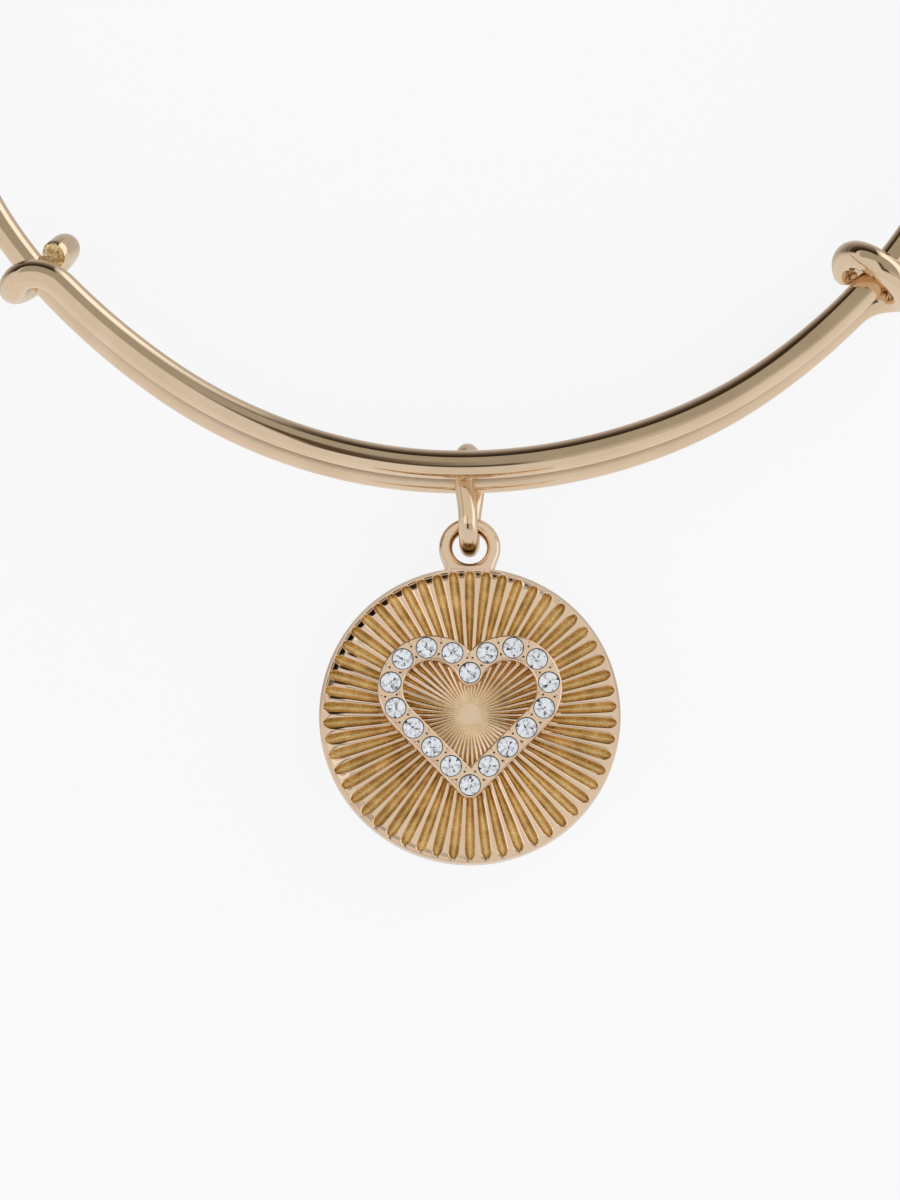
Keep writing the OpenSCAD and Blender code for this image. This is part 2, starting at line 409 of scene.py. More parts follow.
def on_circle(a, r, z):
    return np.stack([r * np.sin(a * RAD), -r * np.cos(a * RAD), z + 0 * a], -1)


def upper(a):
    return on_circle(a, radius_at(a) + in_at(a), low_z(a) + gap_at(a))


def lower(a):
    return on_circle(a, radius_at(a) + in_at(a) + out_at(a), low_z(a))


def back(a):
    f = (a - right_a) / (360 - left_a - right_a)
    side = np.where(a > 180, 360 - a, a)
    z = np.where(a < 180, back_z + (right_z + right_gap - back_z) * ease((180 - a) / (180 - right_a)),
                 back_z + (left_z - back_z) * ease((a - 180) / (180 - left_a)))
    return on_circle(a, radius_at(side) + (left_out - 0.03) * ease(f), z)


def beside(c, a, w, r, shift):
    s = (shift + r * np.sin(w * RAD))[:, None]
    out = np.stack([np.sin(a * RAD), -np.cos(a * RAD), 0 * a], -1) * s
    out[:, 2] += r * np.cos(w * RAD)
    return c + out


left_w1 = bend_r / 2.25 / RAD
right_w1 = 180 - bend_r / 2.1 / RAD


def left_at(w, along):
    a = -left_a + along / mean_r / RAD
    k = ease((w - 250) / 70)
    return beside(lower(a), a, w, 2.23 + 0.07 * np.cos(w * RAD) - 0.36 * k, (-left_out - 0.1 * ease(w / 60)) * (1 - k))


def right_at(w, along):
    a = right_a + along / mean_r / RAD
    return beside(upper(a), a, w, 2.15 + 0.17 * np.cos((w + 10) * RAD), right_out * ease(w / 180))


def wire_route():
    w = np.linspace(left_end, left_w1, 121)
    left_turn = left_at(w, -0.15 + 0.3 * np.cos((w - left_w1) * RAD) + 0.35 * ease((w - 262) / 56))
    t = np.linspace(90, 0, 25)[1:]
    left_bend = left_at(left_w1 * (1 - np.cos(t * RAD)), 0.15 + bend_r * (1 - np.sin(t * RAD)))
    a0 = -left_a + (0.15 + bend_r) / mean_r / RAD
    upper_run = upper(np.linspace(a0, right_a, 240)[1:])
    back_run = back(np.linspace(right_a, 360 - left_a, 480)[1:-1])
    a1 = right_a + (0.03 - bend_r) / mean_r / RAD
    lower_run = lower(np.linspace(-left_a, a1, 240)[:-1])
    t = np.linspace(0, 90, 25)
    right_bend = right_at(180 - (180 - right_w1) * (1 - np.cos(t * RAD)), 0.03 - bend_r * (1 - np.sin(t * RAD)))
    w = np.linspace(right_w1, right_end, 121)[1:]
    right_turn = right_at(w, 0.03 - 0.75 * ease((-30 - w) / 140))
    return np.concatenate([left_turn, left_bend, upper_run, back_run, lower_run, right_bend, right_turn])


def make_wire():
    sides = 44
    p = blurred(resample(wire_route(), 0.1), 4)
    p = resample(p, 0.24)
    n = len(p)
    s = np.minimum(np.arange(n), np.arange(n)[::-1]) * 0.24
    # small rounded bevels at the cut ends
    radii = wire_r - 0.10 * (1 - np.sqrt(np.clip(1 - (1 - np.clip(s / 0.12, 0, 1)) ** 2, 0, 1)))
    rings, t = tube_rings(p, radii, sides)
    verts = rings.reshape(-1, 3)
    faces = grid_faces(n, sides)
    mats = [0] * len(faces)
    verts = list(verts)
    rng = np.random.default_rng(7)
    # a rough sawn face at each end: rings stepping in to the middle
    for end in (0, n - 1):
        outward = -t[0] if end == 0 else t[-1]
        base = list(range(end * sides, (end + 1) * sides))
        prev = base
        for k, frac in enumerate((0.86, 0.72, 0.55, 0.38, 0.2)):
            ring = []
            for j in range(sides):
                jit = rng.normal(0, 0.022) if k > 0 else rng.normal(0, 0.012)
                c = p[end] + (verts[base[j]] - p[end]) * (frac + rng.normal(0, 0.012))
                ring.append(len(verts))
                verts.append(c + outward * (0.05 + jit - (0.04 if k == 0 else 0)))
            for j in range(sides):
                a, b, c, d = prev[j], prev[(j + 1) % sides], ring[(j + 1) % sides], ring[j]
                faces.append((a, d, c, b) if end == 0 else (a, b, c, d))
                mats.append(1)
            prev = ring
        mid = len(verts)
        verts.append(p[end] + outward * 0.07)
        for j in range(sides):
            a, b = prev[j], prev[(j + 1) % sides]
            faces.append((a, mid, b) if end == 0 else (a, b, mid))
            mats.append(1)
    obj = new_object("bangle_wire_tube", verts, faces, [wire_gold, cut_face], mats, sharp=60)
    rub = obj.data.attributes.new("rubbed", "FLOAT", "POINT")
    angle = np.degrees(np.arctan2(p[:, 0], -p[:, 1]))
    low = (np.abs(angle) < 60) & (p[:, 2] < low_z(angle) + 0.9) & (np.arange(n) > n // 2)
    side = (rings - p[:, None]) / wire_r
    out = side[:, :, 0] * np.sin(angle * RAD)[:, None] - side[:, :, 1] * np.cos(angle * RAD)[:, None]
    lean = np.degrees(np.arctan2(out, side[:, :, 2]))
    worn = (low * smooth(54, 42, np.abs(angle)))[:, None] * smooth(26, 12, np.abs(lean - 20))
    rub.data.foreach_set("value", np.concatenate([worn.reshape(-1), np.zeros(len(verts) - worn.size)]).astype(np.float32))
    return obj


# ---------------------------------------------------------------- the jump ring

def paint_end_shade(mat, y_from, y_to):
    """Darkens a metal towards one end with painted shade: the ear's shadow, reflected in the ring's end."""
    nt = mat.node_tree
    bsdf = [n for n in nt.nodes if n.type == "BSDF_PRINCIPLED"][0]
    sock = bsdf.inputs["Base Color"]
    old = sock.links[0].from_socket
    sep = nt.nodes.new("ShaderNodeSeparateXYZ")
    nt.links.new(add(nt, "ShaderNodeTexCoord").outputs["Object"], sep.inputs[0])
    across = math_node(nt, "ABSOLUTE", math_node(nt, "SUBTRACT", sep.outputs[0], link_x * MM))
    fac = math_node(nt, "MULTIPLY", map_range(nt, sep.outputs[1], y_from * MM, y_to * MM, 0.0, 0.9, "SMOOTHSTEP"),
                    map_range(nt, across, 0.32 * MM, 0.48 * MM, 1.0, 0.0, "SMOOTHSTEP"))
    nt.links.new(mix(nt, fac, old, rgb(0.24, 0.15, 0.038)), sock)


def make_link():
    sides, r = 40, link_d / 2
    up = np.linspace(0, 180, 90)
    inner = np.stack([0 * up, link_r * np.sin(up * RAD), link_r * np.cos(up * RAD)], 1)
    outer = np.stack([0 * up, -link_straight - link_r * np.sin(up * RAD), -link_r * np.cos(up * RAD)], 1)
    side1 = np.linspace(0, -link_straight, 26)[1:-1]
    low = np.stack([0 * side1, side1, 0 * side1 - link_r], 1)
    high = np.stack([0 * side1, side1[::-1], 0 * side1 + link_r], 1)
    p = np.concatenate([inner, low, outer, high])
    t, n, b = frames(p, closed=True)
    w = np.arange(sides) * 2 * np.pi / sides
    x = np.array([1.0, 0, 0])
    b = np.cross(t, x)
    rings = p[:, None] + (np.cos(w)[None, :, None] * x + np.sin(w)[None, :, None] * b[:, None]) * r
    m = len(p)
    # its two strands draw together towards the ear
    along = rings[:, :, 1:2]
    lean = (link_lean - 11.0 * smooth(0.2, -link_straight - 0.2, along)) * RAD
    across, height = rings[:, :, 0:1], rings[:, :, 2:3]
    same_height = math.cos(link_lean * RAD) / np.cos(lean)
    rings = np.concatenate([across * np.cos(lean) - height * np.sin(lean), along,
                            (across * np.sin(lean) + height * np.cos(lean)) * same_height], 2)
    verts = rings.reshape(-1, 3)
    faces = [((i * sides + j), (i * sides + (j + 1) % sides), ((i + 1) % m * sides + (j + 1) % sides), ((i + 1) % m * sides + j))
             for i in range(m) for j in range(sides)]
    matrix = Matrix.Translation((link_x, link_far_y, link_mid_z))
    return new_object("jump_ring_loop", verts, faces, [ring_gold], matrix=matrix)


# ---------------------------------------------------------------- the medallion

ON_MEDALLION = Matrix.Translation((med_x, med_y, (rd - low_in) * math.sin(tilt * RAD))) @ Matrix.Rotation(tilt * RAD, 4, "X")

ray_out, ray_out_w = rd - 0.51, 0.56
ray_end = ray_out + ray_out_w / 2
tip_len = 0.50
groove_d = 0.27
pitch = 2 * math.pi / rays


def groove_half(r):
    """Half the width of a groove, which ends in a bullet-shaped tip."""
    w = min(0.61, (0.48 + 0.22 * float(smooth(2.0, 6.5, r))) * pitch * r)
    return w / 2 * math.sqrt(max(0.0, 1 - max(0.0, (r - ray_end + tip_len) / tip_len) ** 2))


LAND_TOP, LEDGE = 0.06, -0.075   # heights of the lands and of the ledge round them, from the disc's nominal top
LAND_SLOPE = 0.46
LAND_END = ray_end - 0.07


def ledge_at(a):
    """The ledge's height: low from the ear round to the left, nearly level with the lands on the other side."""
    return 0.03 + (LEDGE - 0.03) * float(smooth(-0.20, 0.45, (math.sin(a) - math.cos(a)) * 0.7071))


def foot_height(r, a):
    """Height of a groove's edges, where a land's flanks end: it falls to the ledge at the outer end, sooner on the left."""
    strong = 0.10 + 0.90 * float(smooth(0.70, 0.90, -math.cos(a))) * float(smooth(-0.50, -0.20, math.sin(a)))
    ledge = ledge_at(a)
    inner = LAND_TOP - 0.034 * float(smooth(0.6, 2.6, r))
    outer = inner + (ledge - inner) * strong
    h = inner + (outer - inner) * float(smooth(7.6, 8.7, r))
    return h + (ledge - h) * float(smooth(LAND_END - 0.30, LAND_END + 0.04, r))


def land_end(a):
    """Depth and slope of the pit at a land's outer end: deep and steep from the top round to the left, a gentle fall elsewhere."""
    w = float(smooth(-0.80, 0.35, -math.cos(a))) * float(smooth(-0.10, 0.25, math.sin(a)))
    slope = 0.15 + 0.43 * float(smooth(0.0, 0.5, w)) + 0.12 * w * float(smooth(0.3, 0.9, -math.cos(a)))
    return ledge_at(a) - 0.125 * w, slope


def land_height(r, q, lw, foot, a):
    """Height of a land at r, q to the side of its middle line: flat, with sloping flanks and a pit at its outer end."""
    pit, slope = land_end(a)
    side, end = lw - abs(q), LAND_END - r
    down = pit + slope * end if end > 0 else pit + (ledge_at(a) - pit) * min(1.0, -end / 0.06)
    h = min(LAND_TOP, foot + LAND_SLOPE * side)
    return h + (down - h) * float(smooth(0.0, 0.08, side)) if down < h else h


def pit_painted_shade(r, q, lw, a):
    """How much painted shade a land gets at r, q: a rounded patch of painted shade in the pit at its outer end, largest
    at the upper left.
    """
    left = -math.cos(a)
    w = float(smooth(-0.75, -0.25, left)) * float(smooth(0.12, 0.30, math.sin(a)))
    size = 0.55 + 0.45 * float(smooth(-0.1, 0.45, left))
    r_out = LAND_END - 0.01
    r_in = r_out - 0.41 * size
    t = (r - r_in) / (r_out - r_in)
    half = (0.14 + 0.15 * t) * size
    return w * float(smooth(0.0, 0.2, t) * smooth(1.0, 0.86, t) * smooth(half + 0.05, half - 0.05, abs(q)) * smooth(0.0, 0.05, lw - abs(q)))


def make_disc():
    v_in = np.array([-0.88, -0.64, -0.32, 0.0, 0.32, 0.64, 0.88])
    r_rows = np.concatenate([[0.15, 0.4, 0.65, 0.8], np.linspace(0.95, 8.3, 27), np.linspace(8.3, ray_end, 28)[1:]])
    n_land = 15
    verts, rows, dark = [], [], []
    cols = len(v_in) + n_land
    n_cols = cols * rays
    for r in r_rows:
        half_pitch = pitch * r / 2
        hw = max(groove_half(r), min(0.008, 0.4 * half_pitch))
        lw = half_pitch - hw
        deep = groove_d * float(smooth(0.55, 5.2, r)) * float(smooth(0.0, 0.10, ray_end - r))
        row = []
        for i in range(rays):
            mid = (i + 0.5) * pitch
            foot = foot_height(r, mid)
            land_foot = foot_height(r, mid + pitch / 2)
            f = min(0.97, max(0.1, (LAND_TOP - land_foot) / LAND_SLOPE / lw))      # how much of its half width a land's flank takes
            side = [1.0, 1 - 0.2 * f, 1 - 0.42 * f, 1 - 0.66 * f, 1 - 0.92 * f, max(0.03, 1 - 1.15 * f)]
            side.append(0.55 * side[-1])
            u_land = [-u for u in side] + [0.0] + side[::-1]
            for v in v_in:
                q = v * hw
                wall = min(0.08, hw * 0.36)
                k = float(smooth(0, wall, hw - abs(q)))
                rib = 0.59 * math.cos(min(1.0, abs(v) / 0.86) * math.pi / 2) ** 1.4
                row.append((r, mid + q / r, disc_t + foot - k * deep * (1 - rib)))
                dark.append(0.0)
            for u in u_land:
                a = mid + (hw + lw * (u + 1)) / r
                row.append((r, a, disc_t + land_height(r, lw * u, lw, land_foot, mid + pitch / 2)))
                dark.append(pit_painted_shade(r, lw * u, lw, mid + pitch / 2))
        rows.append(row)
    n_in = len(rows)

    def rim_rows():
        """Rows from the ledge over the rim to the back: a steep bevel, widest on the ear's side, and a rounded lower edge."""
        columns = []
        for _, a, _ in rows[-1]:
            north, ledge_z = math.sin(a), disc_t + ledge_at(a)
            wide = 0.06 + 0.195 * float(smooth(-0.45, 0.70, north))
            off_ear = float(smooth(0.165, 0.27, abs(math.cos(a)))) if north > 0 else 1.0
            wide = 0.03 + (wide - 0.03) * off_ear
            tall = wide * 1.9
            soft = 0.22 * wide * max(0.2, float(smooth(-0.3, 0.6, north)))
            far = rd + 0.10 * float(smooth(0.1, 0.9, north)) * off_ear
            x0, z0, x1, z1 = far - wide + soft, ledge_z - 0.5 * soft, far - 0.12 * wide, ledge_z - tall * 0.85
            col = [(far - wide - soft, ledge_z), (far - wide, ledge_z - 0.12 * soft)]
            col += [(x0 + (x1 - x0) * f, z0 + (z1 - z0) * f) for f in (0, 0.03, 0.35, 0.7, 1.0)]
            col += [(far - 0.03 * wide, ledge_z - tall * 0.95), (far, ledge_z - tall * 1.08)]
            top_z = min(1.15, ledge_z - tall * 1.08 - 0.03)
            col += [(rd, top_z), (rd - 0.07, top_z * 0.80), (rd - 0.17, top_z * 0.62), (rd - 0.32, top_z * 0.42),
                    (rd - 0.46, top_z * 0.22), (rd - low_in, 0.0)]
            columns.append([(x, a, z) for x, z in col])
        return [[c[k] for c in columns] for k in range(len(columns[0]))]

    rows += rim_rows()
    for r in (6.5, 3.0, 0.5):
        rows.append([(r, a, 0.0) for (_, a, _) in rows[-1]])
    verts = [(r * math.cos(a), r * math.sin(a), z) for row in rows for (r, a, z) in row]
    faces, mats = [], []
    for i in range(len(rows) - 1):
        r_mid = (rows[i][0][0] + rows[i + 1][0][0]) / 2
        for j in range(n_cols):
            a, b = i * n_cols + j, i * n_cols + (j + 1) % n_cols
            faces.append((a, a + n_cols, b + n_cols, b))
            k = j % cols
            groove = k < len(v_in) or k == cols - 1
            mats.append(1 if groove and i < n_in - 2 and r_mid > 0.7 else 0)
    top = len(verts)
    verts.append((0.0, 0.0, disc_t + LAND_TOP))
    verts.append((0, 0, 0))
    last = (len(rows) - 1) * n_cols
    for j in range(n_cols):
        faces.append((top, j, (j + 1) % n_cols))
        faces.append((top + 1, last + (j + 1) % n_cols, last + j))
        mats += [0, 0]
    obj = new_object("medallion_disc", verts, faces, [land_gold, groove_gold], mats, sharp=40, matrix=ON_MEDALLION)
    # the pit attribute carries the painted shade in the pits at the lands' ends
    pits = obj.data.attributes.new("pit", "FLOAT", "POINT")
    pits.data.foreach_set("value", np.array(dark + [0.0] * (len(verts) - len(dark)), np.float32))
    return obj


def make_ear():
    """A flat-topped ring with two short legs, whose top runs level into the disc's ledge."""
    m, sides = 144, 40
    ri, ro, low = ear_hole_d / 2 - 0.03, ear_d / 2 + 0.02, 0.234
    bends = [(0, 1.75), (20, 1.75 / math.cos(20 * RAD)), (36, 1.75 / math.cos(36 * RAD)), (41, 2.27), (48, 2.08), (57, 1.965), (66, 1.925), (75, ro), (180, ro)]
    verts = []
    for i in range(m):
        a = 2 * math.pi * i / m
        ax, ay = math.cos(a), math.sin(a)
        from_disc = math.degrees(math.atan2(abs(ax), -ay))
        r_out = float(np.interp(from_disc, [k for k, _ in bends], [r for _, r in bends]))
        for j in range(sides):
            w = 2 * math.pi * j / sides
            cw, sw = math.cos(w), math.sin(w)
            u = math.copysign(abs(cw) ** 0.62, cw)
            v = 0.5 + 0.5 * math.copysign(abs(sw) ** 0.66, sw)
            edge = min(0.52, (r_out - ri) / 2)      # the rounding keeps its width where the legs are long
            r = (r_out - edge + edge * u) if cw > 0 else (ri + edge + edge * u)
            if abs(cw) < 1e-9:
                r = (ri + r_out) / 2
            x, y = r * ax, r * ay
            top = disc_t + LEDGE + 0.012 - 0.34 * float(np.clip((y + 1.45) / 2.15, 0, 1))
            verts.append((x, ear_reach + y, low + (top - low) * v))
    faces = [((i * sides + j), ((i + 1) % m * sides + j), ((i + 1) % m * sides + (j + 1) % sides), (i * sides + (j + 1) % sides))
             for i in range(m) for j in range(sides)]
    return new_object("medallion_ear", verts, faces, [land_gold], sharp=70, matrix=ON_MEDALLION)


# ---- the heart

tip_reach = math.hypot(heart_c, heart_y - heart_tip)
arc_from = math.pi - math.acos(heart_c / heart_r)
arc_to = math.atan2(heart_tip - heart_y, -heart_c) + math.acos(heart_r / tip_reach)
arc_len = (arc_from - arc_to) * heart_r
line_len = math.sqrt(tip_reach ** 2 - heart_r ** 2)
half_len = arc_len + line_len
line_from = (heart_c + heart_r * math.cos(arc_to), heart_y + heart_r * math.sin(arc_to))
line_n = (math.cos(arc_to), math.sin(arc_to))
line_d = ((0 - line_from[0]) / line_len, (heart_tip - line_from[1]) / line_len)


def right_half(s):
    """Point and outward direction at length s down the right half, from the notch."""
    if s < arc_len:
        a = arc_from - s / heart_r
        return (heart_c + heart_r * math.cos(a), heart_y + heart_r * math.sin(a)), (math.cos(a), math.sin(a))
    q = s - arc_len
    return (line_from[0] + line_d[0] * q, line_from[1] + line_d[1] * q), line_n


def heart_point(s):
    """Point and outward direction at length s round the whole heart."""
    s = s % (2 * half_len)
    if s <= half_len:
        return right_half(s)
    p, n = right_half(2 * half_len - s)
    return (-p[0], p[1]), (-n[0], n[1])


def offset(s, t, fan=None):
    """The point t outside the middle line on the right half, kept on its own side of the heart's axis."""
    p, n = right_half(s)
    if fan is not None:
        n = fan
    x, y = p[0] + n[0] * t, p[1] + n[1] * t
    if x < 1e-9:
        if s < half_len / 2:
            y = heart_y + math.sqrt((heart_r + t) ** 2 - heart_c ** 2)
        else:
            k = -line_n[0] * t / line_d[0]
            y = heart_tip + line_n[1] * t + line_d[1] * k
        x = 0.0
    return x, y


def bar_profile():
    """Columns of (distance from the middle line, height over the disc), from the inside round to the outside."""
    h, w, edge = bar_h, bar_w / 2, 0.15
    pts = [(-w + 0.02, -0.45), (-w + 0.02, -0.1), (-w + 0.02, 0.25), (-w + 0.03, h - edge)]
    for k in range(1, 7):
        a = 90 * k / 6 * RAD
        pts.append((-(w - 0.03 - edge) - edge * math.cos(a), h - edge + edge * math.sin(a)))
    pts += [(-0.35, h + 0.006), (0.0, h + 0.01)]
    return pts + [(-t, z) for t, z in pts[:-1][::-1]]


def heart_bar():
    prof = bar_profile()
    rows = []
    _, n0 = right_half(0)
    inward = math.atan2(-n0[1], -n0[0])
    for k in range(8):   # inside fan at the notch
        a = -math.pi / 2 + (inward + math.pi / 2) * k / 8
        rows.append((0.0, (-math.cos(a), -math.sin(a)), "notch"))
    steps = 130
    for k in range(steps + 1):
        rows.append((half_len * k / steps, None, None))
    a_end = math.atan2(line_n[1], line_n[0])
    for k in range(1, 11):
        a = a_end + (-math.pi / 2 - a_end) * k / 10
        rows.append((half_len, (math.cos(a), math.sin(a)), "tip"))
    grid = []
    for s, fan, where in rows:
        row = []
        for t, z in prof:
            f = fan
            if where == "notch" and t >= 0 or where == "tip" and t <= 0:
                f = None
            if where == "tip" and t < 0 or where == "notch" and t > 0:
                x, y = offset(s, t)
            elif f is not None:
                p, _ = right_half(s)
                x, y = max(0.0, p[0] + f[0] * t), p[1] + f[1] * t
            else:
                x, y = offset(s, t)
            if abs(x) < 1e-6:
                x = 0.0
            row.append((x, y, disc_t + z))
        grid.append(row)
    n, m = len(grid), len(prof)
    right = [v for row in grid for v in row]
    left = [(-x, y, z) for x, y, z in right]
    verts = right + left
    faces = []
    for i in range(n - 1):
        for j in range(m):
            a, b = i * m + j, i * m + (j + 1) % m
            c, d = b + m, a + m
            faces.append((a, b, c, d))
            o = n * m
            faces.append((a + o, d + o, c + o, b + o))
    bm = bmesh.new()
    vs = [bm.verts.new(v) for v in verts]
    for f in faces:
        try:
            bm.faces.new([vs[k] for k in f])
        except ValueError:
            pass
    bmesh.ops.remove_doubles(bm, verts=bm.verts, dist=1e-4)
    bmesh.ops.dissolve_degenerate(bm, edges=bm.edges, dist=1e-5)
    bmesh.ops.recalc_face_normals(bm, faces=bm.faces)
    return bm


def seat_cutters():
    bm = bmesh.new()
    r, sides = stone_d / 2 + 0.05, 40
    for i in range(stones):
        (x, y), _ = heart_point(2 * half_len * i / stones)
        m = Matrix.Translation((x, y, disc_t + bar_h - 0.58 + 0.9))
        bmesh.ops.create_cone(bm, cap_ends=True, cap_tris=False, segments=sides, radius1=r, radius2=r, depth=1.8, matrix=m)
    # small pits beside the stones, whose walls take the dark seat metal: painted shade where the prongs' shadows fall
    for i in range(stones):
        (x, y), n = heart_point(2 * half_len * (i + 0.5) / stones)
        for t in (-0.36, 0.36):
            m = Matrix.Translation((x + n[0] * t, y + n[1] * t - 0.02, disc_t + bar_h))
            bmesh.ops.create_cone(bm, cap_ends=True, cap_tris=False, segments=12, radius1=0.045, radius2=0.095, depth=0.24, matrix=m)
    return bm


def mesh_from(bm, name):
    mesh = bpy.data.meshes.new(name)
    bm.to_mesh(mesh)
    bm.free()
    return mesh


def make_heart():
    body = bpy.data.objects.new("medallion_heart", mesh_from(heart_bar(), "medallion_heart"))
    cutter = bpy.data.objects.new("cutter", mesh_from(seat_cutters(), "cutter"))
    body.data.materials.append(land_gold)
    body.data.materials.append(seat_shade)
    cutter.data.materials.append(seat_shade)
    for o in (body, cutter):
        scene.collection.objects.link(o)
    mod = body.modifiers.new("seats", "BOOLEAN")
    mod.operation, mod.solver, mod.object = "DIFFERENCE", "EXACT", cutter
    mod.material_mode = "TRANSFER"
    graph = bpy.context.evaluated_depsgraph_get()
    done = bpy.data.meshes.new_from_object(body.evaluated_get(graph))
    body.modifiers.clear()
    body.data = done
    bpy.data.objects.remove(cutter)
    bm = bmesh.new()
    bm.from_mesh(done)
    bmesh.ops.remove_doubles(bm, verts=bm.verts, dist=5e-4)
    bmesh.ops.dissolve_degenerate(bm, edges=bm.edges, dist=5e-4)
    bmesh.ops.triangulate(bm, faces=bm.faces)
    flat = [f for f in bm.faces if f.calc_area() < 1e-9]
    bmesh.ops.dissolve_degenerate(bm, edges=list({e for f in flat for e in f.edges}), dist=5e-4)
    bm.transform(Matrix.Scale(MM, 4))
    bm.to_mesh(done)
    bm.free()
    m = ON_MEDALLION.copy()
    m.translation = m.translation * MM
    done.transform(m)
    done.polygons.foreach_set("use_smooth", np.ones(len(done.polygons), bool))
    done.set_sharp_from_angle(angle=32 * RAD)
    done.update()
    return body


def make_beads():
    """The small polished beads that hold the stones."""
    verts, faces = [], []
    seg, rings = 16, 6
    r = 0.115
    spots = []
    for i in range(stones):
        s = 2 * half_len * (i + 0.5) / stones
        (x, y), n = heart_point(s)
        for t in (-0.56, 0.56):
            spots.append((x + n[0] * t, y + n[1] * t + 0.03))
    z0 = disc_t + bar_h - 0.03
    for x, y in spots:
        o = len(verts)
        for i in range(rings):
            a = math.pi / 2 * i / rings
            for j in range(seg):
                w = 2 * math.pi * j / seg
                verts.append((x + r * math.cos(a) * math.cos(w), y + r * math.cos(a) * math.sin(w), z0 + r * math.sin(a)))
        verts.append((x, y, z0 + r))
        top = len(verts) - 1
        verts.append((x, y, z0 - 0.1))
        low = len(verts) - 1
        for i in range(rings - 1):
            for j in range(seg):
                a, b = o + i * seg + j, o + i * seg + (j + 1) % seg
                faces.append((a, b, b + seg, a + seg))
        for j in range(seg):
            a, b = o + (rings - 1) * seg + j, o + (rings - 1) * seg + (j + 1) % seg
            faces.append((a, b, top))
            a, b = o + j, o + (j + 1) % seg
            faces.append((b, a, low))
    return new_object("medallion_beads", verts, faces, [land_gold], sharp=60, matrix=ON_MEDALLION)


def make_crystals():
    """Round brilliant-cut stones: 33 crown and 64 pavilion facets each, with foils behind whose bright, grey and dark
    tones and glow are painted reflections.
    """
    verts, faces, mats = [], [], []
    big = stone_d / 2
    table, star = 0.54 * big, 0.78 * big
    zt, zg, zb, zc = 0.13, -0.03, -0.07, -0.46
    rng = np.random.default_rng(11)
    slope = (zt - zg) / (big - table)
    c8 = math.cos(math.pi / 8)
    zm = zt - (star * c8 - table) * slope
    low_r, mid_r = 0.24 * big, 0.60 * big
    zn, zk = zc + low_r * c8 * (zb - zc) / big, zc + mid_r * (zb - zc) / big - 0.02
    for i in range(stones):
        (cx, cy), _ = heart_point(2 * half_len * i / stones)
        turn = (i * 37 % 45) * RAD
        # each stone sits a little crooked in its seat
        lean = Matrix.Rotation(((i * 53) % 7 - 3) * 0.45 * RAD, 4, "X") @ Matrix.Rotation(((i * 29) % 7 - 3) * 0.45 * RAD, 4, "Y")
        base = Matrix.Translation((cx, cy, disc_t + bar_h)) @ lean
        o = len(verts)

        def put(r, a, z):
            verts.append(tuple(base @ Vector((r * math.cos(a + turn), r * math.sin(a + turn), z))))
            return len(verts) - 1

        k8 = [2 * math.pi * k / 8 for k in range(8)]
        h8 = [2 * math.pi * (k + 0.5) / 8 for k in range(8)]
        t = [put(table, a, zt) for a in k8]
        m = [put(star, a, zm) for a in h8]
        g = [put(big, 2 * math.pi * k / 16, zg) for k in range(16)]
        b = [put(big, 2 * math.pi * k / 16, zb) for k in range(16)]
        n = [put(low_r, a, zn) for a in h8]
        q = [put(mid_r, 2 * math.pi * (k + 0.5) / 16, zk) for k in range(16)]
        culet = put(0, 0, zc)
        faces.append(tuple(t)); mats.append(0)
        # painted reflections: most facets behind are bright, and some grey and some dark
        painted_reflection_tones = iter(np.concatenate([rng.permutation([1, 1, 1, 2, 2, 2, 3, 3]),
                                     rng.permutation([1] * 16 + [2] * 6 + [3] * 2), rng.permutation([1] * 23 + [2] * 8 + [3])]))
        for k in range(8):
            k1 = (k + 1) % 8
            faces.append((t[k], m[k], t[k1])); mats.append(0)
            faces.append((t[k], m[k - 1], g[2 * k], m[k])); mats.append(0)
            faces.append((m[k], g[2 * k], g[2 * k + 1])); mats.append(0)
            faces.append((m[k], g[2 * k + 1], g[(2 * k + 2) % 16])); mats.append(0)
            faces.append((culet, n[k], n[k - 1])); mats.append(int(next(painted_reflection_tones)))
        for k in range(8):
            k1, o1, o2 = (k + 1) % 8, q[2 * k + 1], q[(2 * k + 2) % 16]
            for tri in ((n[k], o1, q[2 * k]), (n[k], n[k1], o1), (n[k1], o2, o1)):
                faces.append(tri); mats.append(int(next(painted_reflection_tones)))
        for k in range(16):
            k1 = (k + 1) % 16
            faces.append((q[k], q[k1], b[k1])); mats.append(int(next(painted_reflection_tones)))
            faces.append((q[k], b[k1], b[k])); mats.append(int(next(painted_reflection_tones)))
        for k in range(16):
            faces.append((g[k], b[k], b[(k + 1) % 16], g[(k + 1) % 16])); mats.append(0)
    obj = new_object("crystals_cut", verts, faces, [glass, *foil_painted_reflections], mats, matrix=ON_MEDALLION)
    obj.data.polygons.foreach_set("use_smooth", np.zeros(len(obj.data.polygons), bool))
    obj.data.update()
    return obj


wire = make_wire()
# painted shade on the jump ring's end beside the ear
paint_end_shade(ring_gold, hook_y - 0.06, hook_y - 0.20)
link = make_link()
disc = make_disc()
ear = make_ear()
heart = make_heart()
beads = make_beads()
gems = make_crystals()

for piece, node, slot in (
    (wire, "bangle_wire", "wire_gold"),
    (link, "jump_ring", "ring_gold"),
    (disc, "medallion", "medallion_gold"),
    (ear, "medallion", "medallion_gold"),
    (heart, "medallion", "medallion_gold"),
    (beads, "medallion", "medallion_gold"),
    (gems, "crystals", "crystal"),
):
    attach(piece, "root")
    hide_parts(node)


# ---------------------------------------------------------------- floor

